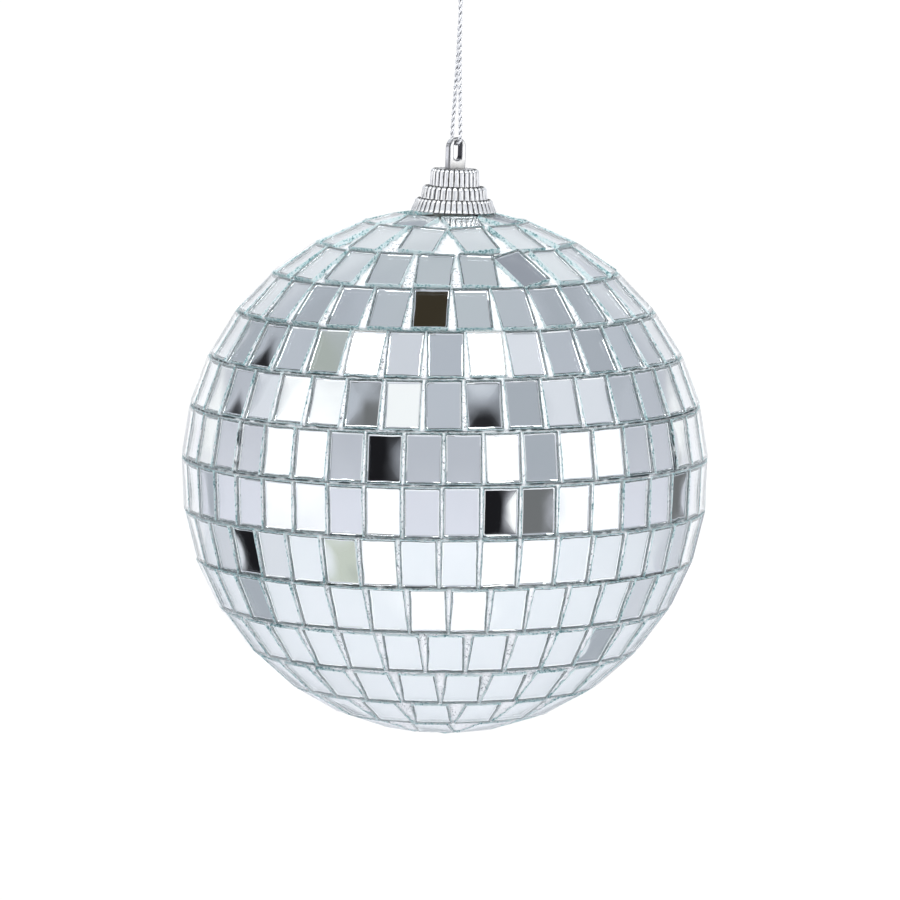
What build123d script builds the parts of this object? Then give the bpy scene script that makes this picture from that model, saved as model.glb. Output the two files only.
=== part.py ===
from build123d import *
from math import atan, cos, pi, radians, sin, tan
import os

# A hanging mirror ball: a foam ball covered with rings of flat mirror tiles, a fluted three-tier cap with
# a slotted eye post, and a doubled cord through the slot, tied in a knot.
# Millimetres. The origin is at the mount, where the doubled cord meets its knot and hangs. +Z is up,
# and the cap's axis is Z. The slot in the eye post runs along Y.

# Ball, in radii from its centre
FACE_R = 50.0  # faces of the mirror tiles: a 100 mm ball
GLASS = 1.0  # mirror glass thickness
SEAT_R = FACE_R - GLASS  # backs of the tiles
COAT_R = SEAT_R - 0.02  # outside of the glue and paint coat
FOAM_R = COAT_R - 0.4  # foam core

# Tiles
TILE_W = 6.9  # along the ring
TILE_H = 9.5  # up and down the ball
SIDE_JOINT = 0.1  # least gap between neighbours in a ring
# Latitudes of the joints between the rings of whole tiles, from the cap downwards
ROW_EDGES = [72.5, 60.9, 49.3, 37.9, 26.3, 15.0, 3.3, -8.0, -19.3, -30.4, -42.4, -54.2, -65.8, -77.3]
TOP_RING = {"count": 8, "edge": 72.5, "height": 6.2}  # cut tiles round the cap
BOTTOM_RING = {"count": 6, "edge": -77.9, "height": 3.9}  # cut tiles round the bottom tile
ROW_GAP = 0.38  # between two rings, along the ball
# How far each ring is turned, in degrees, the cut rings included
ROW_TURNS = [24, 26.6, 6.1, 5.4, 7.0, 2.1, 5.8, 2.4, 8.1, 2.1, 8.6, 3.6, 8, 10, 0]
# The rings are laid by hand, and their axis leans a little from the cap's
RING_LEAN = 1.7  # degrees
LEAN_TOWARDS = 143  # direction that it leans in, in degrees about Z

# Cap, in heights above the ball's centre
CAP_BASE = 49.7
# Each tier: outer radius at its foot, outer radius at its top, height, number of flutes
TIERS = [(8.25, 7.2, 2.4, 44), (6.45, 6.1, 2.4, 33), (4.8, 4.65, 3.3, 28)]
FLUTE_DEPTH = 0.16
CAP_WALL = 0.9
MOUTH_RIM = 0.6  # left round the open mouth, inside the flutes of the foot
MOUTH_TOP_RIM = 1.4  # the same where the mouth's taper ends
MOUTH_H = 1.5
CAP_TOP = CAP_BASE + sum(tier[2] for tier in TIERS)

# Eye post and its stem
POST_W = 4.0  # along X
POST_T = 1.5  # along Y, the way the slot runs
POST_H = 6.0
POST_ROUND = 0.35
BAR = 0.7  # left over the slot, at the post's top
SLOT_W = 1.8
SLOT_H = 3.7
SLOT_ROUND = 0.3  # rounded mouth of the slot
EYE_Z = CAP_TOP + POST_H - BAR - SLOT_W / 2  # centre of the slot's round top
STEM_R = 1.1
STEM_DEPTH = 14.0  # into the foam
BARB_R = 1.7
BARB_H = 2.2
GLUE_R = 4.0
GLUE_TOP = 50.6

# Cord
CORD_D = 0.8
BIGHT_CLEARANCE = 0.1  # between the cord and the round top of the slot
BIGHT_HALF = 0.8  # half of the flat bottom of the bight, in the slot
BIGHT_OFFSET = 1.38  # cord's centre from the post's middle, beside the slot
BIGHT_RISE = 0.8  # from the bottom of the bight up to where the legs start
PAIR_R = 0.455  # each strand's centre from the axis, where the two lie together
# Height and angle about Z of the first strand where the pair is wound together, from the knot down
WINDING = [(0, -140), (-7, -118), (-14.4, -90)]
ARC_SHARE = 0.45  # of the shorter run beside a corner that its arc may take up
DROP = 91.5  # from the mount down to the ball's centre
KNOT_GAP = 0.02  # from the cord's cut ends up to the knot
KNOT_R = 1.55
KNOT_H = 3.0
TAIL_LENGTH = 4.5
TAIL_LEAN = 24  # degrees from upright


def at_ball(shape):
    """Moves a shape built about the ball's centre to its place under the mount."""
    return Pos(0, 0, -DROP) * shape


def leaned(shape):
    """Leans a shape about the ball's centre, as the rings' axis leans."""
    return Rot(0, 0, LEAN_TOWARDS) * Rot(0, RING_LEAN, 0) * Rot(0, 0, -LEAN_TOWARDS) * shape


def ring_of_tiles(latitude, height, count, turn):
    """One ring of flat tiles, each tangent to the ball at its middle."""
    tile = Box(GLASS, TILE_W, height, align=(Align.MIN, Align.CENTER, Align.CENTER))
    upright = Pos(SEAT_R, 0, 0) * tile
    tilted = Rot(0, -latitude, 0) * upright
    return [Rot(0, 0, turn + 360 * k / count) * tilted for k in range(count)]


def tiles_that_fit(latitude):
    """How many whole tiles a ring holds before the corners nearest the pole touch."""
    tilt = radians(abs(latitude))
    tight_r = SEAT_R * cos(tilt) - TILE_H / 2 * sin(tilt)
    return int(pi / atan((TILE_W + SIDE_JOINT) / 2 / tight_r))


def ring_of_cut_tiles(ring, side, turn):
    """A ring of shortened tiles on the polar side of a joint; side is 1 at the top, -1 at the bottom."""
    middle = ring["edge"] + side * half_angle(ring["height"] + ROW_GAP)
    return ring_of_tiles(middle, ring["height"], ring["count"], turn)


def half_angle(length):
    """The latitude, in degrees, that half of a flat length spans on the tiles' seat."""
    return atan(length / 2 / SEAT_R) * 180 / pi


def mirror_rows():
    """Every ring of tiles, top to bottom, as a list of lists of solids."""
    rows = [ring_of_cut_tiles(TOP_RING, 1, ROW_TURNS[0])]
    for upper, lower, turn in zip(ROW_EDGES, ROW_EDGES[1:], ROW_TURNS[1:]):
        latitude = (upper + lower) / 2
        rows.append(ring_of_tiles(latitude, TILE_H, tiles_that_fit(latitude), turn))
    rows.append(ring_of_cut_tiles(BOTTOM_RING, -1, ROW_TURNS[-1]))
    return rows


def bottom_tile():
    """The whole tile that closes the bottom pole."""
    return Pos(0, 0, -SEAT_R) * Box(TILE_W, TILE_H, GLASS, align=(Align.CENTER, Align.CENTER, Align.MAX))


def stem():
    """The round stem under the eye post, with two barbs and a point."""
    tip = FOAM_R - STEM_DEPTH
    points = [
        (0, CAP_TOP),
        (STEM_R, CAP_TOP),
        (STEM_R, tip + 3 * BARB_H),
        (BARB_R, tip + 3 * BARB_H),
        (STEM_R, tip + 2 * BARB_H),
        (BARB_R, tip + 2 * BARB_H),
        (STEM_R, tip + BARB_H),
        (STEM_R / 3, tip),
        (0, tip),
    ]
    outline = make_face(Plane.XZ * Polyline(*points, close=True))
    return revolve(outline, Axis.Z)


def eye_post():
    """The slotted post, rounded at its top and corners, with its stem."""
    shank_h = POST_H - POST_W / 2
    shank = Pos(0, 0, CAP_TOP + shank_h / 2) * Box(POST_W, POST_T, shank_h)
    round_top = Pos(0, 0, CAP_TOP + shank_h) * Rot(90, 0, 0) * Cylinder(POST_W / 2, POST_T)
    post = shank + round_top
    flanks = post.faces().filter_by(Axis.Y)
    outline = [edge for face in flanks for edge in face.edges() if edge.center().Z > CAP_TOP + 0.01]
    post = fillet(outline, POST_ROUND)
    slot_middle = EYE_Z + SLOT_W / 2 - SLOT_H / 2
    slot_plane = Plane(origin=(0, -POST_T, slot_middle), x_dir=(0, 0, 1), z_dir=(0, 1, 0))
    slot = extrude(slot_plane * SlotOverall(SLOT_H, SLOT_W), 2 * POST_T)
    post = post - slot
    mouths = post.faces().filter_by(Axis.Y)
    rims = [edge for face in mouths for wire in face.inner_wires() for edge in wire.edges()]
    post = fillet(rims, SLOT_ROUND)
    return post + stem()


def fluted_outline(radius, flutes):
    """A closed ring of shallow round flutes, as a face."""
    step = 2 * pi / flutes
    valley_r = radius - FLUTE_DEPTH
    edges = []
    for k in range(flutes):
        angles = (k * step, (k + 0.5) * step, (k + 1) * step)
        radii = (valley_r, radius, valley_r)
        points = [(r * cos(a), r * sin(a)) for r, a in zip(radii, angles)]
        edges.append(ThreePointArc(*points))
    return make_face(edges)


def fluted_tier(foot_r, top_r, height, flutes):
    """One tier of the cap: flutes that taper from its foot to its top."""
    foot = fluted_outline(foot_r, flutes)
    top = Pos(0, 0, height) * fluted_outline(top_r, flutes)
    return loft([foot, top], ruled=True)


def cap_bell():
    """The three tiers as one moulded shell, open below, with a hole for the stem."""
    outside, inside, z = [], [], CAP_BASE
    for foot_r, top_r, height, flutes in TIERS:
        outside.append(Pos(0, 0, z) * fluted_tier(foot_r, top_r, height, flutes))
        hollow_r = (top_r if z > CAP_BASE else foot_r) - FLUTE_DEPTH - CAP_WALL
        hollow = Cylinder(hollow_r, height, align=(Align.CENTER, Align.CENTER, Align.MIN))
        inside.append(Pos(0, 0, z - CAP_WALL) * hollow)
        z += height
    foot_r, top_r = TIERS[0][:2]
    upwards = (Align.CENTER, Align.CENTER, Align.MIN)
    mouth = Cone(foot_r - MOUTH_RIM, top_r - MOUTH_TOP_RIM, MOUTH_H, align=upwards)
    stem_hole = Pos(0, 0, CAP_TOP) * Cylinder(STEM_R, 4 * CAP_WALL)
    shell = outside[0] + outside[1] + outside[2]
    shell = shell - inside[0] - inside[1] - inside[2]
    return shell - Pos(0, 0, CAP_BASE) * mouth - stem_hole


def cap_glue():
    """The plug of glue that fills the coat's hole under the cap, round the stem."""
    plug = Cylinder(GLUE_R, GLUE_TOP, align=(Align.CENTER, Align.CENTER, Align.MIN))
    return plug - Sphere(FOAM_R) - stem()


def adhesive_coat():
    """The coat that the tiles sit in, open where the cap is glued."""
    hole = Cylinder(GLUE_R, 2 * FACE_R, align=(Align.CENTER, Align.CENTER, Align.MIN))
    return Sphere(COAT_R) - Sphere(FOAM_R) - hole


def foam_core():
    """The foam ball, pressed open by the stem."""
    return Sphere(FOAM_R) - stem()


def cord_route():
    """The cord's route: down one strand and leg, through the slot, and up the other leg and strand."""
    bight_z = EYE_Z - DROP + SLOT_W / 2 - BIGHT_CLEARANCE - CORD_D / 2
    half = [(PAIR_R * cos(radians(a)), PAIR_R * sin(radians(a)), z) for z, a in WINDING]
    half.append((0, -BIGHT_OFFSET, bight_z + BIGHT_RISE))
    half.append((0, -BIGHT_HALF, bight_z))
    return half + [(-x, -y, z) for x, y, z in reversed(half)]


def arc_radii(points):
    """The largest arc each corner of a route has room for."""
    vectors = [Vector(*b) - Vector(*a) for a, b in zip(points, points[1:])]
    radii = []
    for before, after in zip(vectors, vectors[1:]):
        half_turn = radians(before.get_angle(after)) / 2
        radii.append(ARC_SHARE * min(before.length, after.length) / tan(half_turn))
    return radii


def tube(points, radii):
    """A cord's tube: straight runs joined by tangent arcs."""
    path = FilletPolyline(*points, radius=radii)
    start = Plane(origin=path @ 0, z_dir=path % 0)
    return sweep(start * Circle(CORD_D / 2), path=path), path.length


def hanging_cord():
    """The doubled cord, its two ends cut level just under the knot."""
    route = cord_route()
    radii = arc_radii(route)
    solid, length = tube(route, radii)
    block = Box(4 * KNOT_R, 4 * KNOT_R, KNOT_H, align=(Align.CENTER, Align.CENTER, Align.MIN))
    above = Pos(0, 0, -KNOT_GAP) * block
    print("cord length", round(length, 2), "arc radii", [round(r, 2) for r in radii])
    section = pi * CORD_D**2 / 4
    print("cord volume", round(solid.volume, 3), "section times length", round(section * length, 3))
    return solid - above


def cord_knot():
    """The overhand knot in the doubled cord: a plump body with a flat underside and two short tails."""
    body = Pos(0, 0, KNOT_H / 2) * Sphere(KNOT_R)
    body = body - Pos(0, 0, -KNOT_H) * Box(4 * KNOT_R, 4 * KNOT_R, 2 * KNOT_H)
    base = Cylinder(2 * PAIR_R, KNOT_H / 2, align=(Align.CENTER, Align.CENTER, Align.MIN))
    knot = body + base
    for lean in (-TAIL_LEAN, TAIL_LEAN):
        tail = Cylinder(CORD_D / 2, TAIL_LENGTH, align=(Align.CENTER, Align.CENTER, Align.MIN))
        knot = knot + Pos(0, 0, KNOT_H / 2) * Rot(lean, 0, 0) * tail
    return knot


def write(name, shapes):
    """Writes one node, from one shape or a list of separate solids."""
    solids = shapes if isinstance(shapes, list) else [shapes]
    node = Compound(children=solids) if len(solids) > 1 else solids[0]
    export_step(node, f"parts/{name}.step")


os.makedirs("parts", exist_ok=True)
write("foam_core", at_ball(foam_core()))
write("adhesive_coat", at_ball(adhesive_coat()))
for number, row in enumerate(mirror_rows(), start=1):
    write(f"mirror_row_{number:02d}", [at_ball(leaned(tile)) for tile in row])
write("mirror_bottom_tile", at_ball(leaned(bottom_tile())))
write("cap_glue", at_ball(cap_glue()))
write("cap_bell", at_ball(cap_bell()))
write("eye_post", at_ball(eye_post()))
write("hanging_cord", hanging_cord())
write("cord_knot", cord_knot())
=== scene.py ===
import bpy
import bmesh
import random
from math import asin, atan2, ceil, cos, degrees, hypot, pi, radians, sin
from mathutils import Matrix, Quaternion, Vector, noise


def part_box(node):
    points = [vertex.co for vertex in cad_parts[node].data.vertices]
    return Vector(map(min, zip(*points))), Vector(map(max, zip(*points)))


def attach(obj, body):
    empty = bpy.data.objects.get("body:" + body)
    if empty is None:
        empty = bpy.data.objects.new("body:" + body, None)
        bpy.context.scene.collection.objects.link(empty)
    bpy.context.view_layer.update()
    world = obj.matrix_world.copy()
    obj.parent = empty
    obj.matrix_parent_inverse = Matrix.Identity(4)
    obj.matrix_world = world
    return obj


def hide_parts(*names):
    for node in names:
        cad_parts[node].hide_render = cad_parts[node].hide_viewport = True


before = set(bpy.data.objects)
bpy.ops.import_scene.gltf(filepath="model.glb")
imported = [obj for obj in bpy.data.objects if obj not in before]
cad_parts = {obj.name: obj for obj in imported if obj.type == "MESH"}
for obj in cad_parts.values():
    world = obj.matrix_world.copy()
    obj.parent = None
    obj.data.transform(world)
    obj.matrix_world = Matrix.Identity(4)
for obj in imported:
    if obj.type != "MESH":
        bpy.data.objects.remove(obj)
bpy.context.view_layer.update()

MM = 0.001
UP = Vector((0, 0, 1))

# The ball, from the frame
core_low, core_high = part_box("foam_core")
CENTRE = Vector((0, 0, (core_low.z + core_high.z) / 2))
COAT_R = (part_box("adhesive_coat")[1].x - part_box("adhesive_coat")[0].x) / 2
FOAM_R = (core_high.x - core_low.x) / 2
GLASS = 1.0 * MM
FACE_R = COAT_R + GLASS
ROWS = sorted(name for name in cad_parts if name.startswith("mirror_row_"))
# The rings' axis, which leans a little from the cap's: the bottom tile closes its lower pole
bottom_low, bottom_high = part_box("mirror_bottom_tile")
RING_AXIS = (CENTRE - (bottom_low + bottom_high) / 2).normalized()
LEAN = UP.rotation_difference(RING_AXIS).to_matrix()

# The cap and the slot in its post, which the frame holds as cap_bell and eye_post
CAP_LOW, CAP_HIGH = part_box("cap_bell")
SLOT_HALF = 0.9 * MM
SLOT_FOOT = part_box("eye_post")[1].z - 4.4 * MM

# The camera
VIEW_AZIMUTH = -37
VIEW_ELEVATION = 6.8
VIEW_DISTANCE = 1.150
VIEW_ROLL = 1.96  # degrees, the ball's top to the right
AIM_RIGHT = 0.86 * MM  # what the camera aims at, from the ball's centre
AIM_UP = 3.88 * MM
LENS = 240.5


# ---------------------------------------------------------------- mesh helpers


def new_piece(name, verts, faces, materials, body, face_materials=None, smooth=False):
    """A mesh piece in the row frame that rides on a body."""
    mesh = bpy.data.meshes.new(name)
    mesh.from_pydata([tuple(v) for v in verts], [], faces)
    for material in materials:
        mesh.materials.append(material)
    if face_materials:
        mesh.polygons.foreach_set("material_index", face_materials)
    mesh.polygons.foreach_set("use_smooth", [smooth] * len(mesh.polygons))
    mesh.update()
    piece = bpy.data.objects.new(name, mesh)
    bpy.context.scene.collection.objects.link(piece)
    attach(piece, body)
    return piece


def add_attribute(piece, name, values):
    """A number for each vertex, for a material to read."""
    attribute = piece.data.attributes.new(name, "FLOAT", "POINT")
    attribute.data.foreach_set("value", values)


def face_outwards(piece, merge=0.0):
    """Joins points nearer than merge, and turns every closed shell of a mesh to face outwards."""
    bm = bmesh.new()
    bm.from_mesh(piece.data)
    if merge:
        bmesh.ops.remove_doubles(bm, verts=bm.verts, dist=merge)
    bmesh.ops.recalc_face_normals(bm, faces=bm.faces)
    bm.to_mesh(piece.data)
    bm.free()


class Shells:
    """Gathers vertices and faces of several shells into one mesh."""

    def __init__(self):
        self.verts = []
        self.faces = []
        self.marks = []  # a number for each vertex

    def grid(self, rows, closed_rows, cap_ends, marks=None):
        """A skin over rows of points. closed_rows joins each row's end to its start."""
        start = len(self.verts)
        self.marks += marks or [0.0] * (len(rows) * len(rows[0]))
        across = len(rows[0])
        for row in rows:
            self.verts.extend(row)
        last = across if closed_rows else across - 1
        for i in range(len(rows) - 1):
            for j in range(last):
                a = start + i * across + j
                b = start + i * across + (j + 1) % across
                self.faces.append((a, b, b + across, a + across))
        if cap_ends:
            end = start + (len(rows) - 1) * across
            self.faces.append(tuple(range(start, start + across))[::-1])
            self.faces.append(tuple(range(end, end + across)))


# ---------------------------------------------------------------- node helpers


class Nodes:
    """Short ways to add nodes to a tree."""

    def __init__(self, tree):
        self.tree = tree

    def node(self, kind, inputs=None, **settings):
        made = self.tree.nodes.new(kind)
        for name, value in settings.items():
            setattr(made, name, value)
        for name, value in (inputs or {}).items():
            if isinstance(value, bpy.types.NodeSocket):
                self.tree.links.new(value, made.inputs[name])
            else:
                made.inputs[name].default_value = value
        return made

    def maths(self, operation, a, b=0.0):
        return self.node("ShaderNodeMath", {0: a, 1: b}, operation=operation).outputs[0]

    def vector_maths(self, operation, a, b=(0, 0, 0)):
        return self.node("ShaderNodeVectorMath", {0: a, 1: b}, operation=operation).outputs

    def part(self, vector, axis):
        """The X, Y or Z part of a vector."""
        return self.node("ShaderNodeSeparateXYZ", {"Vector": vector}).outputs[axis]

    def range(self, value, low, high, start=0.0, end=1.0, **settings):
        """value from start..end mapped to low..high, held at the ends."""
        inputs = {"Value": value, "From Min": start, "From Max": end, "To Min": low, "To Max": high}
        return self.node("ShaderNodeMapRange", inputs, **settings).outputs["Result"]

    def colours(self, value, *stops):
        """A colour ramp with stops of (place, red, green, blue)."""
        ramp = self.node("ShaderNodeValToRGB", {"Fac": value})
        elements = ramp.color_ramp.elements
        while len(elements) < len(stops):
            elements.new(0.5)
        for element, (place, red, green, blue) in zip(elements, stops):
            element.position = place
            element.color = (red, green, blue, 1)
        return ramp.outputs["Color"]

    def mix(self, factor, a, b, blend="MIX"):
        """Colour a, turning into colour b as the factor grows."""
        inputs = {"Factor": factor, "A": a, "B": b}
        made = self.node("ShaderNodeMix", inputs, data_type="RGBA", blend_type=blend)
        return made.outputs["Result"]


class Paint(Nodes):
    """A material under construction: its node tree, and its shader."""

    def __init__(self, name):
        self.material = bpy.data.materials.new(name)
        self.material.use_nodes = True
        super().__init__(self.material.node_tree)
        self.shader = self.tree.nodes["Principled BSDF"]
        self.places = self.node("ShaderNodeTexCoord").outputs["Object"]

    def set(self, **values):
        """Fixed values on the shader's own sockets, with _ for a space."""
        for name, value in values.items():
            self.shader.inputs[name.replace("_", " ")].default_value = value

    def link(self, output, name):
        self.tree.links.new(output, self.shader.inputs[name])

    def noise(self, size, detail=2.0, roughness=0.5):
        """Smooth noise with features of about a size in metres."""
        inputs = {"Vector": self.places, "Scale": 1 / size, "Detail": detail, "Roughness": roughness}
        return self.node("ShaderNodeTexNoise", inputs).outputs[0]

    def cells(self, size):
        """Distance from the middle of the nearest cell, for cells of about a size in metres."""
        inputs = {"Vector": self.places, "Scale": 1 / size}
        return self.node("ShaderNodeTexVoronoi", inputs).outputs["Distance"]

    def attribute(self, name):
        return self.node("ShaderNodeAttribute", attribute_name=name).outputs["Fac"]

    def bump(self, height, depth):
        """Links a height field to the shader's normal, depth in metres."""
        made = self.node("ShaderNodeBump", {"Height": height, "Distance": depth})
        self.link(made.outputs["Normal"], "Normal")


def mirror_glass():
    """The clear front of a mirror tile, with faint smudges."""
    paint = Paint("mirror_glass")
    paint.set(Transmission_Weight=1.0, IOR=1.52)
    smudge = paint.noise(9 * MM, 4.0, 0.6)
    paint.link(paint.colours(smudge, (0.3, 0.96, 0.985, 0.98), (0.7, 0.985, 1.0, 0.995)), "Base Color")
    paint.link(paint.range(smudge, 0.0, 0.02, 0.5, 0.8), "Roughness")
    return paint.material


def glass_edge():
    """The cut and broken edges of the tiles: frosted and sea green, with chips, and dark patches of painted
    shade for the shadows at the joints.
    """
    paint = Paint("glass_edge")
    paint.set(Transmission_Weight=0.4, IOR=1.52)
    chips = paint.noise(0.5 * MM, 3.0, 0.7)
    # Painted shade: the darkest sea green stands in for the shadows at the tiles' corners and joints; the
    # paler greens are the glass's own tint
    shade_patches = paint.maths("ADD", chips, paint.range(paint.noise(8 * MM), -0.07, 0.07, 0.3, 0.7))
    stops = [(0.39, 0.16, 0.34, 0.36), (0.44, 0.55, 0.82, 0.82), (0.5, 0.9, 1.0, 1.0)]
    paint.link(paint.colours(shade_patches, *stops), "Base Color")
    paint.link(paint.range(chips, 0.15, 0.5), "Roughness")
    paint.bump(chips, 0.08 * MM)
    return paint.material


def silver_back():
    """The silvered back of the glass, a little wavy, with spots of lost silver at the cut edges."""
    paint = Paint("silver_back")
    paint.set(Metallic=1.0)
    wear = paint.maths("MULTIPLY", paint.attribute("rim"), paint.noise(0.35 * MM, 3.0, 0.7))
    silver = paint.colours(wear, (0.0, 0.93, 0.945, 0.955), (0.42, 0.9, 0.92, 0.93), (0.52, 0.16, 0.17, 0.17))
    paint.link(silver, "Base Color")
    paint.link(paint.range(wear, 0.006, 0.4, 0.3, 0.6), "Roughness")
    paint.bump(paint.noise(5 * MM, 1.0, 0.4), 0.012 * MM)
    return paint.material


def glue_white():
    """White glue and paint between the tiles, with grit, grey where dust has settled, and painted shade down
    in the joints and the unglued gaps.
    """
    paint = Paint("glue_white")
    grit = paint.noise(0.4 * MM, 5.0, 0.75)
    dust = paint.maths("ADD", grit, paint.range(paint.noise(7 * MM), -0.05, 0.05, 0.3, 0.7))
    grit_colour = paint.colours(dust, (0.36, 0.1, 0.11, 0.12), (0.42, 0.82, 0.84, 0.85), (0.48, 1.0, 1.0, 1.0))
    # Painted shade: the colour of the shadow down in the joints, laid where the seams mark it
    shadow = (0.03, 0.05, 0.055, 1)
    paint.link(paint.mix(paint.attribute("joint_shade"), grit_colour, shadow, "MULTIPLY"), "Base Color")
    paint.link(paint.range(grit, 0.75, 0.45), "Roughness")
    paint.bump(grit, 0.12 * MM)
    return paint.material


def foam_beads():
    """Expanded foam: beads pressed together, with painted shade in the creases between them."""
    paint = Paint("foam_beads")
    beads = paint.cells(3 * MM)
    # Painted shade: darker towards each bead's edge, down in the creases
    white = paint.colours(beads, (0.0, 0.93, 0.93, 0.92), (0.6, 0.86, 0.86, 0.85), (1.0, 0.7, 0.7, 0.7))
    paint.link(white, "Base Color")
    paint.link(paint.range(beads, 0.5, 0.8), "Roughness")
    paint.bump(beads, -0.3 * MM)
    return paint.material


def cap_glue_clear():
    """Amber-clear glue with small bubbles."""
    paint = Paint("cap_glue_clear")
    paint.set(Subsurface_Weight=0.3, IOR=1.48)
    bubbles = paint.cells(0.6 * MM)
    paint.link(paint.colours(bubbles, (0.0, 0.95, 0.93, 0.86), (0.5, 0.86, 0.82, 0.7)), "Base Color")
    paint.link(paint.range(bubbles, 0.15, 0.35), "Roughness")
    paint.bump(bubbles, 0.1 * MM)
    return paint.material


def cap_chrome():
    """Bright plating on the cap, duller down in its flutes, with painted shade there and on its ledges, and
    painted dark reflections over the ribs' rounded tops.
    """
    paint = Paint("cap_chrome")
    paint.set(Metallic=0.7, IOR=2.0)
    # The attribute holds painted shade and painted dark reflection; the noise adds patches of tone
    depth = paint.attribute("painted_dark")
    patch = paint.noise(1.2 * MM, 3.0, 0.6)
    painted_dark_and_patches = paint.maths("ADD", depth, paint.range(patch, -0.25, 0.25))
    silver = paint.colours(painted_dark_and_patches, (0.2, 1.0, 1.0, 0.99), (0.36, 0.5, 0.5, 0.49), (0.5, 0.02, 0.02, 0.02))
    paint.link(silver, "Base Color")
    paint.link(paint.range(painted_dark_and_patches, 0.1, 0.45), "Roughness")
    paint.bump(paint.noise(0.5 * MM, 2.0, 0.6), 0.03 * MM)
    return paint.material


def post_chrome():
    """The same plating on the smooth eye post, with painted shade at its foot and down in the slot where the
    cord runs, and painted dark reflections along its rounded edges.
    """
    paint = Paint("post_chrome")
    paint.set(Metallic=0.8, IOR=2.0)
    marks = paint.noise(0.9 * MM, 4.0, 0.65)
    plating = paint.colours(marks, (0.3, 0.8, 0.8, 0.79), (0.6, 0.97, 0.97, 0.96))
    height = paint.part(paint.places, "Z")
    beside = paint.maths("ABSOLUTE", paint.part(paint.places, "X"))
    # Painted shade down in the slot where the cord runs
    inside = paint.range(beside, 1.0, 0.0, SLOT_HALF, SLOT_HALF + 0.25 * MM)
    above_foot = paint.range(height, 0.0, 1.0, SLOT_FOOT - 0.2 * MM, SLOT_FOOT + 0.3 * MM)
    under_top = paint.range(height, 1.0, 0.0, SLOT_FOOT + 3.7 * MM, SLOT_FOOT + 4.0 * MM)
    slot_shade = paint.maths("MULTIPLY", inside, paint.maths("MULTIPLY", above_foot, under_top))
    # Painted shade at the foot, where the post meets the cap
    foot = paint.range(height, 0.6, 0.0, CAP_HIGH.z, CAP_HIGH.z + 2 * MM)
    # Painted dark reflections along the rounded edges
    facing = paint.node("ShaderNodeTexCoord").outputs["Normal"]
    flank = paint.maths("ABSOLUTE", paint.part(facing, "Y"))
    edge = paint.range(paint.maths("PINGPONG", flank, 0.5), 0.0, 0.85, 0.04, 0.2)
    shade_and_dark_reflection = paint.maths("MAXIMUM", paint.maths("MAXIMUM", slot_shade, foot), edge)
    paint.link(paint.mix(shade_and_dark_reflection, plating, (0.05, 0.05, 0.055, 1)), "Base Color")
    paint.link(paint.range(marks, 0.22, 0.08), "Roughness")
    paint.bump(marks, 0.04 * MM)
    return paint.material


def metallic_thread():
    """Silver film wound round the cord's thread, with painted glints and painted shade down between the
    turns.
    """
    paint = Paint("metallic_thread")
    paint.set(Metallic=0.5)
    glint = paint.cells(0.3 * MM)
    depth = paint.attribute("painted_dark")
    # Painted shade where the plies meet, and painted glints from the cells
    mixed = paint.maths("ADD", paint.maths("MULTIPLY", depth, 0.6), paint.maths("MULTIPLY", glint, 0.6))
    silver = paint.colours(mixed, (0.3, 1.0, 1.0, 1.0), (0.62, 0.88, 0.88, 0.89), (0.95, 0.12, 0.12, 0.13))
    paint.link(silver, "Base Color")
    paint.link(paint.range(glint, 0.12, 0.5), "Roughness")
    paint.bump(glint, 0.08 * MM)
    return paint.material


# ------------------------------------------------------------------- the cord

# One leg from the knot down to the slot, in millimetres; the other leg is its half turn about Z
HALF_ROUTE = [
    (-0.348, -0.292, 0),
    (-0.214, -0.402, -7),
    (0, -0.455, -14.4),
    (0, -1.054, -23.3),
    (0, -1.38, -28.125),
    (0, -0.8, -28.925),
]
PLY_R = 0.235 * MM
PLY_OFFSET = 0.185 * MM
PLY_PITCH = 2.5 * MM  # one turn of the two plies
PLY_SIDES = 12
PLY_ROUGHNESS = 0.10  # share of its radius
PLY_GRAIN = 3200  # bumps in a metre
CORD_STEP = 0.16 * MM
# The knot, in millimetres: one leg's way through it (the other is its half turn about Z), and the wraps
KNOT_CORE = [
    (0.348, 0.292, 0.1),
    (0.4, 0.15, 0.8),
    (0.3, 0.35, 1.7),
    (0.15, 0.6, 2.6),
    (0.1, 1.0, 3.6),
    (0, 1.75, 5.3),
]
WRAPS = 1.75  # turns
WRAP_R = 1.02
WRAP_HEIGHT = 1.42
WRAP_APART = 0.399  # half the height between the two legs' wraps
WRAP_POINTS = 14


def nurbs_points(name, control):
    """Points along a smooth cord line with these control points, in metres."""
    curve = bpy.data.curves.new(name, "CURVE")
    curve.dimensions = "3D"
    curve.resolution_u = 48
    spline = curve.splines.new("NURBS")
    spline.points.add(len(control) - 1)
    for point, place in zip(spline.points, control):
        point.co = (*place, 1)
    spline.order_u = 3
    spline.use_endpoint_u = True
    holder = bpy.data.objects.new(name, curve)
    line = bpy.data.meshes.new_from_object(holder)
    points = [v.co.copy() for v in line.vertices]
    bpy.data.objects.remove(holder)
    bpy.data.curves.remove(curve)
    bpy.data.meshes.remove(line)
    return points


def even_steps(points, step):
    """The same line with points a step apart."""
    result = [points[0]]
    left = step
    for a, b in zip(points, points[1:]):
        run = (b - a).length
        while run > left:
            a = a + (b - a) * (left / run)
            result.append(a)
            run = (b - a).length
            left = step
        left -= run
    return result + [points[-1]]


def carried_frames(points):
    """A direction across the line at each point, carried along without twist."""
    tangent = (points[1] - points[0]).normalized()
    across = tangent.orthogonal().normalized()
    frames = []
    for i, point in enumerate(points):
        ahead = points[min(i + 1, len(points) - 1)] - points[max(i - 1, 0)]
        ahead.normalize()
        across = (across - ahead * across.dot(ahead)).normalized()
        frames.append((point, across, ahead.cross(across)))
    return frames


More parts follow.
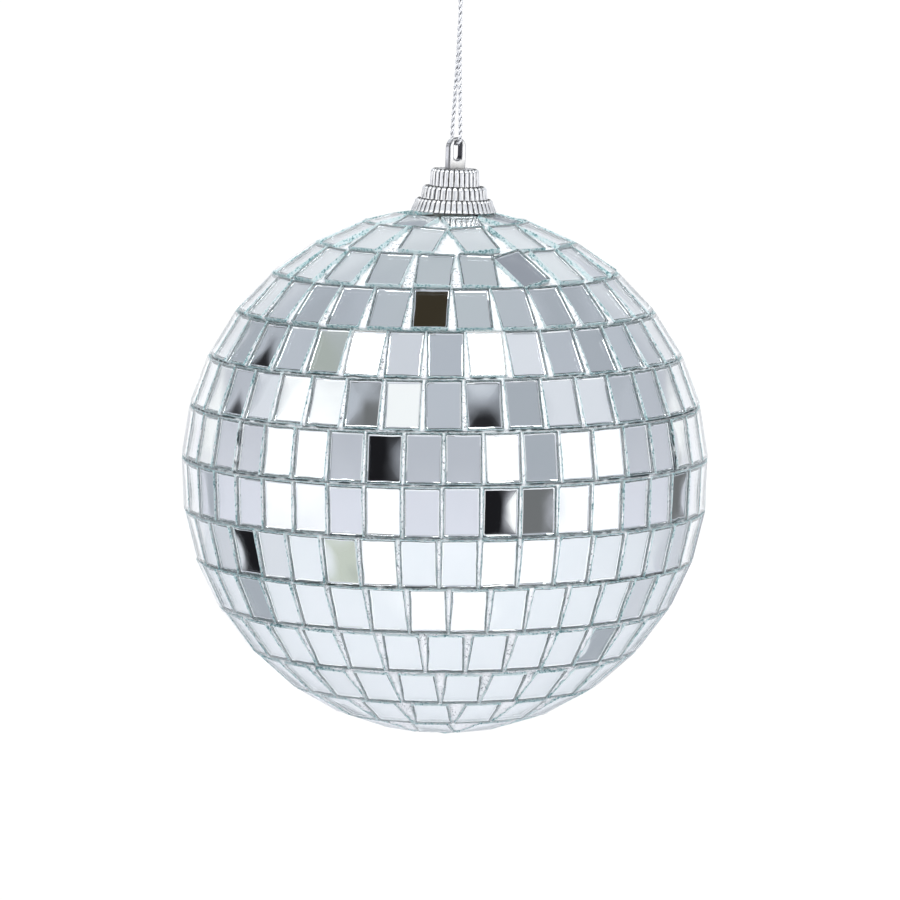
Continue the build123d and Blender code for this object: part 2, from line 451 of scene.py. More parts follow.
def twist_strand(shells, painted_darkness, points, phase=0.0):
    """Adds a two-ply twisted strand along a line. The list it is given gets the painted shade of each point:
    1 where the plies meet, 0 outside.
    """
    frames = carried_frames(points)
    for ply in (0, pi):
        rings = []
        for i, (centre, u, v) in enumerate(frames):
            turn = phase + ply + 2 * pi * i * CORD_STEP / PLY_PITCH
            out = u * cos(turn) + v * sin(turn)
            side = v * cos(turn) - u * sin(turn)
            ring = []
            for k in range(PLY_SIDES):
                a = 2 * pi * k / PLY_SIDES
                rough = 1 + PLY_ROUGHNESS * noise.noise((centre + out * (k + 1) * MM) * PLY_GRAIN)
                along = PLY_OFFSET + PLY_R * rough * cos(a)
                ring.append(centre + out * along + side * PLY_R * rough * sin(a))
                painted_darkness.append(min(1.0, max(0.0, 0.45 - 0.75 * cos(a))))
            rings.append(ring)
        shells.grid(rings, True, True)


def loop_cord(thread):
    """The doubled cord: down from the knot, through the slot in the post, and back up."""
    half = [Vector(p) * MM for p in HALF_ROUTE]
    control = half + [Vector((-p.x, -p.y, p.z)) for p in reversed(half)]
    points = even_steps(nurbs_points("cord_line", control), CORD_STEP)
    shells = Shells()
    painted_darkness = []
    twist_strand(shells, painted_darkness, points)
    piece = new_piece("loop_cord", shells.verts, shells.faces, [thread], "cord", smooth=True)
    add_attribute(piece, "painted_dark", painted_darkness)
    face_outwards(piece)
    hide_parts("hanging_cord")
    return piece, points


def cord_knot(thread):
    """The overhand knot in the doubled cord, with its two tails."""
    shells = Shells()
    painted_darkness = []
    for side in (-1, 1):
        core = [Vector((x * side, y * side, z)) * MM for x, y, z in KNOT_CORE]
        points = nurbs_points("core_line", core)
        twist_strand(shells, painted_darkness, even_steps(points, CORD_STEP), side)
        coil = [(0.1, 0.3 * side, 2.5 + 0.2 * side)]
        for k in range(WRAP_POINTS + 1):
            a = 2 * pi * WRAPS * k / WRAP_POINTS
            height = WRAP_HEIGHT + WRAP_APART * side + 0.55 * sin(a + 0.6)
            coil.append((WRAP_R * cos(a), WRAP_R * sin(a), height))
        coil.append((0.1 * side, 0.2, 0.5 + 0.1 * side))
        points = nurbs_points("wrap_line", [Vector(p) * MM for p in coil])
        twist_strand(shells, painted_darkness, even_steps(points, CORD_STEP), 2 * side)
    piece = new_piece("overhand_knot", shells.verts, shells.faces, [thread], "hanger", smooth=True)
    add_attribute(piece, "painted_dark", painted_darkness)
    face_outwards(piece)
    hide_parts("cord_knot")
    return piece


# ------------------------------------------------------------------ the tiles


class Tile:
    """One mirror tile: its back's middle, its directions, its size and its place in the rings."""

    def __init__(self, corners):
        middle = sum(corners, Vector()) / len(corners)
        self.normal = (middle - CENTRE).normalized()
        flat = self.normal.cross(RING_AXIS)
        self.east = -flat.normalized() if flat.length > 0.01 else LEAN @ Vector((1, 0, 0))
        self.north = self.normal.cross(self.east)
        self.width = spread(corners, self.east)
        self.height = spread(corners, self.north)
        self.back = middle - self.normal * spread(corners, self.normal) / 2
        upright = LEAN.transposed() @ self.normal
        self.latitude = degrees(atan2(upright.z, hypot(upright.x, upright.y)))
        self.longitude = degrees(atan2(upright.y, upright.x))


def spread(points, direction):
    along = [p.dot(direction) for p in points]
    return max(along) - min(along)


def tiles_of(node):
    """The tiles of one CAD node, in order round the ball."""
    bm = bmesh.new()
    bm.from_mesh(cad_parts[node].data)
    bmesh.ops.remove_doubles(bm, verts=bm.verts, dist=0.001 * MM)
    left = set(bm.verts)
    tiles = []
    while left:
        group, edge = set(), {left.pop()}
        while edge:
            group |= edge
            edge = {other for v in edge for e in v.link_edges for other in e.verts} - group
        left -= group
        tiles.append(Tile([v.co.copy() for v in group]))
    bm.free()
    return sorted(tiles, key=lambda tile: tile.longitude)


CHAMFER = 0.04 * MM
RIM = 0.5 * MM  # how far in from the edge the silver is worn
SETTLE = 0.03 * MM  # how far a tile stands off the coat at least
SIDE_POINTS = 3  # between two corners
CHIP = 0.06 * MM
BOW = 0.035 * MM  # how far the strip of glass bows out over a tile
BOW_RINGS = (0.9, 0.75, 0.6, 0.45, 0.3, 0.15)  # where the bowed silver has points, as shares of the way out
FRONT, EDGE, BACK = range(3)  # a tile's materials
LOOSE_ROWS = {0: 1.0, 1: 0.8, 2: 0.6}  # how loosely the rings near the cap are laid


def chipped_outline(tile, rng, loose):
    """The tile's outline from its middle, with nicked corners and chipped sides."""
    x, y = tile.width / 2, tile.height / 2
    corners = []
    for sx, sy in ((1, 1), (-1, 1), (-1, -1), (1, -1)):
        nick = abs(rng.gauss(0.1, 0.12 + 0.15 * loose)) * MM
        pair = [Vector((sx * x, sy * (y - nick))), Vector((sx * (x - nick), sy * y))]
        corners += pair if sx * sy > 0 else pair[::-1]
    points = []
    for k in range(0, 8, 2):
        first, second, third = corners[k], corners[k + 1], corners[(k + 2) % 8]
        points += [first, second]
        for step in range(1, SIDE_POINTS + 1):
            place = second.lerp(third, step / (SIDE_POINTS + 1))
            chip = abs(rng.gauss(0, 1)) * CHIP
            points.append(place - place.normalized() * chip)
    return points


def hand_laid(tile, rng, loose):
    """Moves a tile a little off its true place, as a hand does."""
    turn = radians(rng.gauss(0, 0.25 + 1.4 * loose))
    lean = radians(rng.gauss(0, 0.35 + 0.5 * loose))
    roll = radians(rng.gauss(0, 0.35 + 0.5 * loose))
    spin = Matrix.Rotation(turn, 3, tile.normal)
    tip = Matrix.Rotation(lean, 3, tile.east) @ Matrix.Rotation(roll, 3, tile.north)
    tile.east = tip @ spin @ tile.east
    tile.north = tip @ spin @ tile.north
    tile.normal = tip @ tile.normal
    tile.back += tile.normal * (SETTLE + abs(rng.gauss(0, 0.02)) * MM)
    tile.back += tile.north * rng.gauss(0, 0.05) * MM


# Tiles that sit clearly askew, as (row, longitude, turn in degrees, slide to the east in millimetres)
ASKEW = [(2, -113, -6, -0.3), (2, -96, 17, -0.2), (1, -110, 7, 0.2), (1, -150, -6, 0)]
# Tiles cut narrow on their west side, as (row, longitude, how much in millimetres)
CUT_NARROW = [(6, -175.4, 0.35), (6, -61.4, 0.4)]


def nearest(tiles, longitude):
    """The tile of a ring that is nearest a longitude."""
    return min(tiles, key=lambda tile: abs((tile.longitude - longitude + 180) % 360 - 180))


def cut_and_turn(rows):
    """Gives the tiles that stand out in their rings their narrow cut or their turn."""
    for row, longitude, cut in CUT_NARROW:
        tile = nearest(rows[row], longitude)
        tile.width -= cut * MM
        tile.back += tile.east * cut / 2 * MM
    for row, longitude, turn, slide in ASKEW:
        tile = nearest(rows[row], longitude)
        tile.back += tile.east * slide * MM
        spin = Matrix.Rotation(radians(turn), 3, tile.normal)
        tile.east = spin @ tile.east
        tile.north = spin @ tile.north


def row_piece(node, tiles, rng, loose, materials):
    """One ring of mirror tiles as a piece: glass fronts, green edges and silvered, slightly bowed backs."""
    verts, faces, kinds, rims, smooth = [], [], [], [], []

    def face(corners, kind, rounded=False):
        faces.append(tuple(corners))
        kinds.append(kind)
        smooth.append(rounded)

    for tile in tiles:
        hand_laid(tile, rng, loose)
        outline = chipped_outline(tile, rng, loose)
        bow = BOW * rng.uniform(0.6, 1.4)
        count = len(outline)
        inner = 1 - RIM / (tile.width / 2)
        front = 1 - CHAMFER / (tile.width / 2)
        # Rings of points as (share of the way out, height, silver worn): over the silver, round the edge, and
        # in on the front
        levels = [(share * inner, 0, 0) for share in reversed(BOW_RINGS)]
        levels += [(inner, 0, 0), (1, 0, 1), (1, GLASS - CHAMFER, 1), (front, GLASS, 0)]
        bowed = len(BOW_RINGS) + 1
        start = len(verts)
        verts.append(tile.back + tile.normal * bow)
        rims.append(0)
        for level, (share, height, rim) in enumerate(levels):
            for place in outline:
                x, y = place.x * share, place.y * share
                arch = bow * (1 - (2 * x / tile.width) ** 2) * (1 - (2 * y / tile.height) ** 2)
                out = arch if level < bowed else height
                verts.append(tile.back + tile.east * x + tile.north * y + tile.normal * out)
                rims.append(rim)
        ring = [start + 1 + count * level for level in range(len(levels))]
        for k in range(count):
            after = (k + 1) % count
            face((start, ring[0] + after, ring[0] + k), BACK, True)
            for level, kind in enumerate([BACK] * bowed + [EDGE, EDGE]):
                a, b = ring[level], ring[level + 1]
                face((a + k, a + after, b + after, b + k), kind, level < bowed)
        face([ring[-1] + k for k in range(count)], FRONT)
    name = node.replace("mirror_row", "mirror_tiles").replace("mirror_bottom_tile", "mirror_tile_bottom")
    piece = new_piece(name, verts, faces, materials, "ball", kinds)
    piece.data.polygons.foreach_set("use_smooth", smooth)
    add_attribute(piece, "rim", rims)
    face_outwards(piece)
    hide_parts(node)
    return piece


# ------------------------------------------------------------ coat and glue


def polar(latitude, longitude, radius):
    """The way from the ball's centre to a point at a latitude and a longitude, about upright poles."""
    a, b = radians(latitude), radians(longitude)
    return radius * Vector((cos(a) * cos(b), cos(a) * sin(b), sin(a)))


def ragged(point, size):
    """Noise from -1 to 1 that varies over a size."""
    return noise.noise(point / size) * 1.6


SEAM_FOOT = -0.3 * MM  # from the coat's face
SEAM_LEAST = 0.05 * MM


def seam(shells, line, closed, width, height, rough, joint_shade):
    """A low ridge of glue along a line of (point on the coat, outward, across). Its width and its height are
    functions of the place in the line. The last argument is the painted shade of each of its six points
    across, for the shadow in the joint."""
    rows, marks = [], []
    for i, (point, outward, across) in enumerate(line):
        wide = width(i) / 2
        top = height(i) + rough * ragged(point, 0.5 * MM) + rough * ragged(point, 1.7 * MM)
        top = max(top, SEAM_LEAST)
        left = rough * 0.6 * ragged(point + UP * 9, 0.6 * MM)
        right = rough * 0.6 * ragged(point - UP * 9, 0.6 * MM)
        rows.append([
            point + outward * SEAM_FOOT - across * wide,
            point + outward * (top + left) - across * wide,
            point + outward * (top - 0.08 * MM) - across * wide * 0.3,
            point + outward * (top - 0.05 * MM) + across * wide * 0.4,
            point + outward * (top + right) + across * wide,
            point + outward * SEAM_FOOT + across * wide,
        ])
        # The painted shade is broken up along the seam
        fade = min(1.0, max(0.0, 0.95 + 1.2 * ragged(point, 1.3 * MM)))
        marks += [value * fade for value in joint_shade]
    if closed:
        rows.append(rows[0])
        marks += marks[:6]
    shells.grid(rows, True, not closed, marks)


# Gaps whose glue is painted dark, as painted shadow for a deep gap without glue, as (row, longitude of the
# tile to their west)
SHADED_GAPS = [(6, 176), (6, -70), (11, 40), (4, 20), (8, 100)]
# The glue's level from the coat's face: low near the cap, and nearly flush with the glass lower down
LOW_ROWS = 3
LOW_GLUE = 0.4 * MM
HIGH_GLUE = 0.8 * MM
FLUSH_GLUE = 0.95 * MM
# The ring joints, by the latitude that they are above: the glue's level, and the painted shade from the lower
# ring's side to the upper's, darkest under the upper ring's edge, where the joint lies in shadow
JOINTS = [
    (35, LOW_GLUE, [0.2, 0.2, 0.5, 0.8, 0.9, 0.9]),
    (-22, HIGH_GLUE, [0, 0, 0.6, 1, 1, 1]),
    (-90, FLUSH_GLUE, [0, 0, 0, 0, 0.3, 0.4]),
]
JOINT_WIDTH = 0.44 * MM
JOINT_STEP = 0.3 * MM
JOINT_ROUGH = 0.2 * MM
GAP_STEPS = 16
GAP_ROUGH = 0.18 * MM
COAT_HOLE_R = 4.0 * MM
COAT_LUMP = 0.05 * MM
COAT_AROUND = 240
COAT_UP = 120
POLE_GAP = 0.01  # degrees


def coat_piece(rows, glue):
    """The coat, open under the cap, with the glue that has risen between the tiles."""
    shells = Shells()
    hole = degrees(asin(COAT_HOLE_R / COAT_R))
    outer, inner = [], []
    for k in range(COAT_UP + 1):
        latitude = -90 + POLE_GAP + (180 - hole - POLE_GAP) * k / COAT_UP
        for skin, base, lump in ((outer, COAT_R, COAT_LUMP), (inner, FOAM_R + 0.01 * MM, 0)):
            ring = []
            for j in range(COAT_AROUND):
                point = CENTRE + polar(latitude, 360 * j / COAT_AROUND, base)
                sink = lump * (1 + ragged(point, 5 * MM)) / 2
                ring.append(point + (CENTRE - point).normalized() * sink)
            skin.append(ring)
    # The outer skin up and the inner skin down: the hole's rim joins them, and the lower pole is closed
    shells.grid(outer + inner[::-1], True, True)
    for upper, lower in zip(rows, rows[1:]):
        ring_seam(shells, upper, lower)
    # The glue in these gaps gets painted shadow
    joint_shade = [nearest(rows[row], longitude) for row, longitude in SHADED_GAPS]
    for number, row in enumerate(rows[:-1]):
        level = LOW_GLUE if number < LOW_ROWS else FLUSH_GLUE
        for tile, neighbour in zip(row, row[1:] + row[:1]):
            gap_seam(shells, tile, neighbour, level, 1.0 if tile in joint_shade else 0.0)
    piece = new_piece("glue_coat", shells.verts, shells.faces, [glue], "ball", smooth=True)
    face_outwards(piece)
    add_attribute(piece, "joint_shade", shells.marks)
    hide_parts("adhesive_coat")
    return piece


def ring_seam(shells, upper, lower):
    """The glue along the joint between two rings."""
    above = upper[0].latitude - degrees(asin(upper[0].height / 2 / COAT_R))
    below = lower[0].latitude + degrees(asin(lower[0].height / 2 / COAT_R))
    middle = (above + below) / 2
    count = ceil(2 * pi * COAT_R * cos(radians(middle)) / JOINT_STEP)
    line = []
    for k in range(count):
        point = CENTRE + LEAN @ polar(middle, 360 * k / count, COAT_R)
        outward = (point - CENTRE).normalized()
        east = RING_AXIS.cross(outward).normalized()
        line.append((point, outward, outward.cross(east)))
    level, shades = next((level, shades) for least, level, shades in JOINTS if middle > least)
    seam(shells, line, True, lambda i: JOINT_WIDTH, lambda i: level, JOINT_ROUGH, shades)


def gap_seam(shells, tile, neighbour, level, joint_shade):
    """The glue in the wedge between two neighbours of a ring."""
    line, widths = [], []
    for k in range(GAP_STEPS + 1):
        share = k / GAP_STEPS - 0.5
        a = tile.back + tile.east * tile.width / 2 + tile.north * tile.height * share
        b = neighbour.back - neighbour.east * neighbour.width / 2
        b += neighbour.north * neighbour.height * share
        outward = ((a + b) / 2 - CENTRE).normalized()
        point = CENTRE + outward * COAT_R
        line.append((point, outward, (b - a).normalized()))
        widths.append(max((b - a).length + 0.1 * MM, 0.12 * MM))
    seam(shells, line, False, lambda i: widths[i], lambda i: level, GAP_ROUGH, [joint_shade] * 6)


# -------------------------------------------------------------------- the cap

# Each tier, as its foot's and top's radius and its height in millimetres, and its number of ribs
TIERS = [(8.25, 7.2, 2.4, 44), (6.45, 6.1, 2.4, 33), (4.8, 4.65, 3.3, 28)]
RIB_DEPTH = 0.42
RIB_SHAPE = 0.42  # below 1 the ribs are broad and the flutes between them narrow
SHOULDER = 0.75  # radius of the round over each tier's top
# Painted dark reflection in arcs over each rib's rounded top
SHOULDER_DARK_REFLECTION = (0, 0, 0, 0.15, 0.35, 0.55)  # by steps of the turn over a shoulder
SIDE_STEPS = 5
LEDGE_SINK = 0.05
POST_HOLE = 1.15
CAP_WALL = 0.9
CAP_STEPS = 1056  # a whole number for each rib


def cap_profile():
    """The cap's outline from its foot to its top and back inside, in millimetres, as (radius, height, ribs,
    depth of the flutes, painted shade and dark reflection on the plating, turn of the outline from upright in
    degrees)."""
    widest, first_ribs = TIERS[0][0], TIERS[0][3]
    # The foot carries painted shade where the cap sits on the tiles
    profile = [(widest - 0.55, 0.0, first_ribs, 0.0, 0.5, 0), (widest - 0.2, 0.0, first_ribs, 0.3, 0.5, 0)]
    z = 0.0
    for number, (foot, top, height, ribs) in enumerate(TIERS):
        straight = height - SHOULDER
        edge = foot + (top - foot) * straight / height
        for k in range(SIDE_STEPS + 1):
            share = k / SIDE_STEPS
            lift = 0 if k else 0.12
            radius = foot + (edge - foot) * share
            profile.append((radius, z + straight * share + lift, ribs, 1 - 2 * lift, 0, 0))
        for k, shade_and_dark_reflection in enumerate(SHOULDER_DARK_REFLECTION, 1):
            turned = 90 * k / len(SHOULDER_DARK_REFLECTION)
            a = radians(turned)
            out = edge - SHOULDER * (1 - cos(a))
            profile.append((out, z + straight + SHOULDER * sin(a), ribs, 1, shade_and_dark_reflection, turned))
        z += height
        if number < len(TIERS) - 1:
            next_foot = TIERS[number + 1][0]
            # The ledge where the next tier stands carries painted shade
            profile.append((next_foot + 0.12, z - LEDGE_SINK, ribs, 0.5, 0.7, 90))
            profile.append((next_foot - 0.05, z - LEDGE_SINK, ribs, 0.0, 0.8, 90))
    # The last tier's flat top, in to the post, then down inside tier by tier, all with some painted shade
    inner = edge - SHOULDER
    for share in (0.25, 0.5, 0.75, 1.0):
        profile.append((inner + (1.9 - inner) * share, z, ribs, 1 - share, 0.3, 90))
    profile.append((POST_HOLE, z + 0.02, ribs, 0.0, 0.4, 90))
    profile.append((POST_HOLE, z - CAP_WALL, 1, 0.0, 0.5, 0))
    for number, (foot, top, height, _) in reversed(list(enumerate(TIERS))):
        hollow = (top if number else foot) - RIB_DEPTH - CAP_WALL
        profile.append((hollow, z - CAP_WALL, 1, 0.0, 0.5, 0))
        z -= height
        if number:
            profile.append((hollow, z - CAP_WALL, 1, 0.0, 0.5, 0))
    profile.append((widest - 0.75, 0.02, 1, 0.0, 0.5, 0))
    return profile


def cap_piece(chrome):
    """The three-tier cap with half-round ribs that run up each tier and over its shoulder."""
    shells = Shells()
    painted_darkness, rows = [], []
    for radius, height, ribs, depth, shade_and_dark_reflection, turned in cap_profile():
        row = []
        for k in range(CAP_STEPS):
            a = 2 * pi * k / CAP_STEPS
            rib = abs(sin(a * ribs / 2)) ** RIB_SHAPE
            sunk = RIB_DEPTH * depth * (1 - rib)
            r = radius - sunk * cos(radians(turned))
            z = height - sunk * sin(radians(turned))
            row.append(Vector((r * cos(a) * MM, r * sin(a) * MM, CAP_LOW.z + z * MM)))
            # Painted dark reflections in arcs over each rib's rounded top, and painted shade down in the
            # flutes
            arch = 0.5 * (1 - rib) * sin(radians(turned))
            painted_darkness.append(max(depth * (1 - rib), shade_and_dark_reflection + arch))
        rows.append(row)
    rows.append(rows[0])
    painted_darkness += painted_darkness[:CAP_STEPS]
    shells.grid(rows, True, False)
    piece = new_piece("fluted_cap", shells.verts, shells.faces, [chrome], "ball", smooth=True)
    add_attribute(piece, "painted_dark", painted_darkness)
    face_outwards(piece, merge=0.0005 * MM)
    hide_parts("cap_bell")
    return piece


def repaint(node, material):
    """A CAD node keeps its mesh and gets this material."""
    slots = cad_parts[node].material_slots
    for slot in slots:
        slot.material = material
    if not slots:
        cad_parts[node].data.materials.append(material)


# ------------------------------------------------------------------ the studio

CAMERA_SIDE = Vector((sin(radians(VIEW_AZIMUTH)), -cos(radians(VIEW_AZIMUTH)), 0))
FLOOR_DROP = 0.36  # under the ball's centre
FLOOR_R = 1.25
CARD_DISTANCE = 2.4
LOWEST_CARD = 0.85 * FLOOR_DROP


def studio_direction(azimuth, elevation):
    """A direction from the ball. Azimuth 0 is over the camera, and grows to its right."""
    a, e = radians(azimuth + VIEW_AZIMUTH), radians(elevation)
    return Vector((sin(a) * cos(e), -cos(a) * cos(e), sin(e)))


# The room's light by height, as (height, red, green, blue) from 0 straight down to 1 straight up
ROOM_BEHIND = [
    (0.33, 1.0, 1.0, 1.03),
    (0.43, 1.1, 1.1, 1.13),
    (0.52, 1.1, 1.1, 1.13),
    (0.62, 0.86, 0.87, 0.91),
    (0.85, 0.80, 0.83, 0.87),
    (0.95, 0.52, 0.56, 0.6),
]
ROOM_FRONT = [
    (0.38, 0.78, 0.79, 0.88),
    (0.5, 0.68, 0.69, 0.76),
    (0.6, 0.52, 0.54, 0.60),
    (0.8, 0.52, 0.55, 0.61),
    (0.93, 0.48, 0.51, 0.57),
    (1.0, 0.52, 0.56, 0.60),
]
# Where the room behind the ball turns into the front room, as cosines of the angle from the camera's side
ROOM_TURNS = (-0.9, -0.65)
BACKDROP = (1.05, 1.05, 1.05, 1)


def world_light():
    """A white room, darker on the camera's side and overhead. The camera sees a plain backdrop."""
    world = bpy.data.worlds.new("studio")
    bpy.context.scene.world = world
    world.use_nodes = True
    room = Nodes(world.node_tree)
    direction = room.node("ShaderNodeTexCoord").outputs["Generated"]
    height = room.range(room.part(direction, "Z"), 0.0, 1.0, -1.0, 1.0)
    level = room.vector_maths("MULTIPLY", direction, (1, 1, 0))["Vector"]
    compass = room.vector_maths("NORMALIZE", level)["Vector"]
    facing = room.vector_maths("DOT_PRODUCT", compass, CAMERA_SIDE)["Value"]
    side = room.range(facing, 0.0, 1.0, *ROOM_TURNS, interpolation_type="SMOOTHSTEP")
    light = room.mix(side, room.colours(height, *ROOM_BEHIND), room.colours(height, *ROOM_FRONT))
    seen = room.node("ShaderNodeLightPath").outputs["Is Camera Ray"]
    background = world.node_tree.nodes["Background"]
    world.node_tree.links.new(room.mix(seen, light, BACKDROP), background.inputs["Color"])


def softbox(name, azimuth, elevation, width, height, power, mirrored=True):
    """A large soft light that faces the ball. One that is not mirrored lights matt things only."""
    light = bpy.data.lights.new(name, "AREA")
    light.shape = "RECTANGLE"
    light.size = width
    light.size_y = height
    light.energy = power
    holder = bpy.data.objects.new(name, light)
    direction = LEAN @ studio_direction(azimuth, elevation)
    holder.location = CENTRE + direction * CARD_DISTANCE
    holder.rotation_euler = direction.to_track_quat("Z", "Y").to_euler()
    holder.visible_glossy = mirrored
    holder.visible_transmission = mirrored
    bpy.context.scene.collection.objects.link(holder)


def floor():
    """A plain pale floor under the ball."""
    mesh = bpy.data.meshes.new("floor")
    steps = 64
    level = CENTRE.z - FLOOR_DROP
    corners = [2 * pi * k / steps for k in range(steps)]
    verts = [(FLOOR_R * cos(a), FLOOR_R * sin(a), level) for a in corners]
    mesh.from_pydata(verts, [], [tuple(range(steps))])
    plane = bpy.data.objects.new("floor", mesh)
    bpy.context.scene.collection.objects.link(plane)
    paint = Paint("pale_floor")
    paint.set(Roughness=0.9, Specular_IOR_Level=0.1)
    pale = paint.colours(paint.noise(0.3), (0.3, 0.75, 0.755, 0.77), (0.7, 0.77, 0.775, 0.79))
    paint.link(pale, "Base Color")
    mesh.materials.append(paint.material)


def card(azimuth, elevation, width, height, tone, soft=0.5):
    """A flat panel in the studio that only reflections see, with its sizes in degrees from the ball. It
    stands where the tile that faces halfway between it and the camera mirrors it."""
    direction = LEAN @ studio_direction(azimuth, elevation)
    facing = (direction + studio_direction(0, VIEW_ELEVATION)).normalized()
    across = UP.cross(direction).normalized()
    upward = direction.cross(across)
    distance = CARD_DISTANCE
    if direction.z < 0:
        distance = min(distance, -LOWEST_CARD / direction.z)
    wide = radians(width) / 2 * distance
    tall = radians(height) / 2 * distance
    middle = CENTRE + facing * FACE_R + direction * distance
    corners = ((0, 0), (1, 0), (1, 1), (0, 1))
    verts = [middle + across * (2 * x - 1) * wide + upward * (2 * y - 1) * tall for x, y in corners]
    mesh = bpy.data.meshes.new("card")
    mesh.from_pydata([tuple(v) for v in verts], [], [(0, 1, 2, 3)])
    layer = mesh.uv_layers.new(name="UVMap")
    for loop, corner in zip(layer.data, corners):
        loop.uv = corner
    panel = bpy.data.objects.new("card", mesh)
    bpy.context.scene.collection.objects.link(panel)
    mesh.materials.append(card_material(tone, soft))
    panel.visible_camera = False
    panel.visible_diffuse = False
    panel.visible_shadow = False


def card_material(tone, soft):
    """A card's own light, fading out towards its edges over a share of its width."""
    material = bpy.data.materials.new("card")
    material.use_nodes = True
    material.node_tree.nodes.clear()
    glow = Nodes(material.node_tree)
    place = glow.node("ShaderNodeTexCoord").outputs["UV"]
    fades = []
    for axis in ("X", "Y"):
        from_edge = glow.maths("PINGPONG", glow.part(place, axis), 0.5)
        fades.append(glow.range(from_edge, 0.0, 1.0, 0.0, soft / 2, interpolation_type="SMOOTHSTEP"))
    cover = glow.maths("MULTIPLY", *fades)
    light = glow.node("ShaderNodeEmission", {"Color": (*tone, 1)}).outputs[0]
    clear = glow.node("ShaderNodeBsdfTransparent").outputs[0]
    faded = glow.node("ShaderNodeMixShader", {0: cover, 1: clear, 2: light}).outputs[0]
    glow.node("ShaderNodeOutputMaterial", {"Surface": faded})
    return material


WHITE = (1.25, 1.25, 1.25)
BRIGHT = (0.98, 0.99, 1.0)
PALE = (0.76, 0.78, 0.84)
SILVER = (0.66, 0.68, 0.74)
GREY = (0.42, 0.45, 0.50)
SAGE = (0.60, 0.64, 0.57)
MOSS = (0.42, 0.455, 0.43)
SLATE = (0.33, 0.35, 0.40)
DIM = (0.17, 0.175, 0.18)
BLACK = (0.012, 0.012, 0.014)
BROWN = (0.042, 0.034, 0.022)
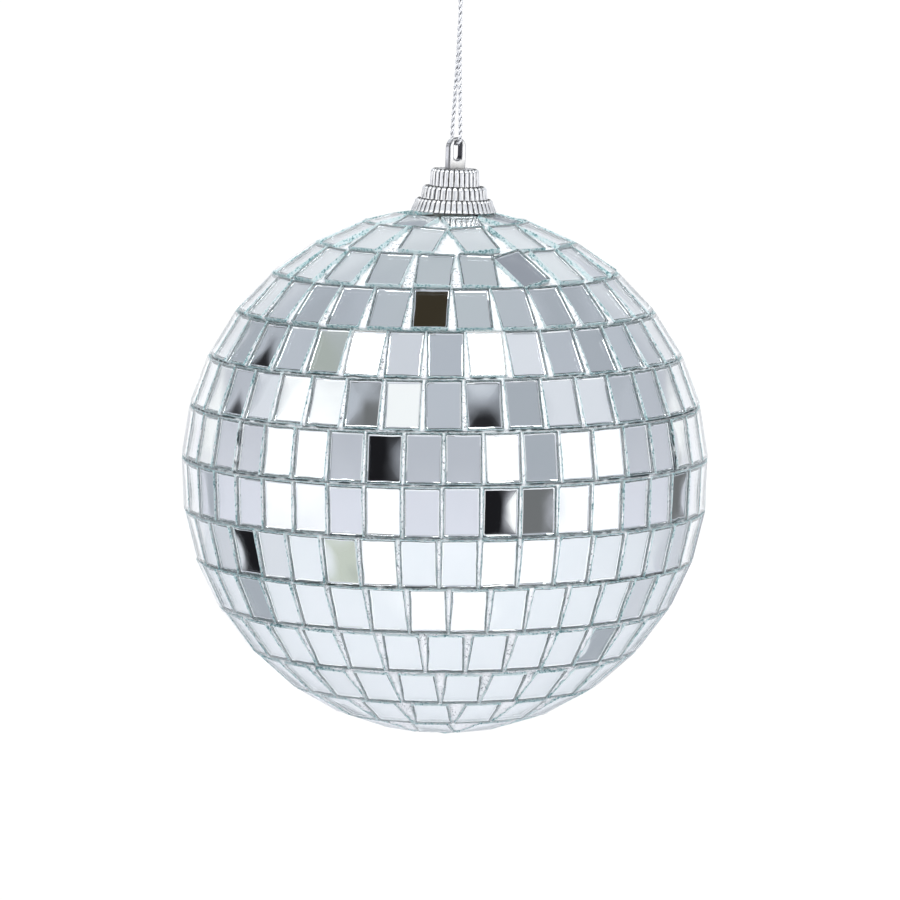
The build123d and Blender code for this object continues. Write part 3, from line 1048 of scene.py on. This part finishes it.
# Cards as (azimuth, elevation, width, height, tone), in degrees from the camera's side and the horizon, and
# for some the share of their width that fades
CARDS = [
    # Brown-black and black flags
    (-38, 80, 17, 20, BROWN),
    (-29, 11, 18, 26, BLACK, 0.67),
    (20, 24.4, 18, 23, BLACK, 0.32),
    (19.5, -13, 15, 24, BLACK, 0.33),
    (-101.5, -23.5, 16.5, 18, BLACK, 0.25),
    (-112.5, 25, 15, 13, BLACK, 0.45),
    (-109.8, 11.2, 13.5, 11.5, BLACK, 0.45),
    # Dim flags
    (-35, 26.5, 16, 18, DIM, 0.3),
    (38.9, -12, 14.8, 22, DIM, 0.55),
    (124, -9, 13, 22, DIM),
    (-124, -9, 14, 22, GREY),
    # Grey walls and gaps
    (43, 11, 17, 22, GREY),
    (41, 32, 16, 20, GREY),
    (102, 33, 20, 26, GREY),
    (118, 50, 30, 22, GREY),
    (-132, 21, 14, 16, GREY),
    (-110, 50, 28, 22, GREY),
    (140, 58, 16, 18, SLATE),
    (-78, 42, 17, 16, MOSS, 0.6),
    (-119, -35, 16, 18, GREY),
    (131, -43, 18, 16, GREY),
    (-46, -37, 12, 12, MOSS, 0.7),
    (-48, -35, 18, 20, SAGE),
    # Pale reflectors
    (-30, 57, 24, 19, SILVER),
    (58, 52, 22, 20, PALE),
    (20, 42, 15, 16, PALE),
    (70, 29, 38, 20, PALE),
    (-98, 22, 12, 12, PALE),
    (-88, -28, 17, 20, PALE),
    (-124, -20, 16, 16, SILVER),
    (132, -20, 32, 20, SILVER),
    (124, -32, 18, 14, SILVER),
    # Bright reflectors and windows
    (-21, 35, 15, 22, BRIGHT),
    (131, 5, 14, 16, BRIGHT),
    (-132, 5, 16, 16, BRIGHT),
    (-70, 10, 40, 62, WHITE),
    (-55, 53, 18, 19, WHITE),
    (-27, -12, 16, 24, WHITE),
    (31.5, -13, 13, 24, WHITE, 0.3),
    (27, 10, 17, 24, WHITE),
    (32, 56, 26, 20, WHITE),
    (70, -1, 38, 44, WHITE),
    (40, -34, 42, 22, WHITE),
    (-32, -34, 18, 22, WHITE),
    (1, -57, 54, 16, WHITE),
    # Behind the ball, for the other views
    (180.5, 31, 22, 12, GREY),
    (175.4, 15.5, 9, 6, SLATE),
    (156, 22, 12, 12, SILVER),
    (-170, 2, 12, 20, WHITE),
    (172, -12, 10, 14, GREY),
]


def camera():
    """The camera, at the viewing angle that shows the cord's two legs one before the other."""
    data = bpy.data.cameras.new("camera")
    data.lens = LENS
    data.sensor_width = 36
    data.clip_end = 20
    holder = bpy.data.objects.new("camera", data)
    bpy.context.scene.collection.objects.link(holder)
    direction = studio_direction(0, VIEW_ELEVATION)
    right = UP.cross(direction).normalized()
    upward = direction.cross(right)
    aim = CENTRE + right * AIM_RIGHT + upward * AIM_UP
    holder.location = CENTRE + direction * VIEW_DISTANCE
    look = (holder.location - aim).to_track_quat("Z", "Y")
    holder.rotation_mode = "QUATERNION"
    holder.rotation_quaternion = look @ Quaternion((0, 0, 1), radians(VIEW_ROLL))
    bpy.context.scene.camera = holder


# ---------------------------------------------------------------- the assembly

scene = bpy.context.scene
scene.view_settings.view_transform = "Standard"
scene.cycles.max_bounces = 16
scene.cycles.transmission_bounces = 12
scene.cycles.glossy_bounces = 8
scene.cycles.transparent_max_bounces = 16
scene.cycles.use_denoising = True

camera()
thread = metallic_thread()
cord, cord_points = loop_cord(thread)
knot = cord_knot(thread)

rng = random.Random(11)
glass_materials = [mirror_glass(), glass_edge(), silver_back()]
tile_nodes = [*ROWS, "mirror_bottom_tile"]
tile_rows = [tiles_of(node) for node in tile_nodes]
cut_and_turn(tile_rows)
for number, (node, tiles) in enumerate(zip(tile_nodes, tile_rows)):
    row_piece(node, tiles, rng, LOOSE_ROWS.get(number, 0.0), glass_materials)

coat_piece(tile_rows, glue_white())
cap_piece(cap_chrome())
repaint("eye_post", post_chrome())
repaint("foam_core", foam_beads())
repaint("cap_glue", cap_glue_clear())

world_light()
floor()
softbox("key_light", 34, 57, 0.8, 0.7, 14)
softbox("fill_light", -55, 54, 0.9, 0.6, 9)
softbox("front_light", 8, 30, 1.4, 1.0, 24, mirrored=False)
softbox("back_light", 180, 35, 1.2, 0.8, 16, mirrored=False)
for azimuth, elevation, width, height, tone, *soft in CARDS:
    card(azimuth, elevation, width, height, tone, *soft)
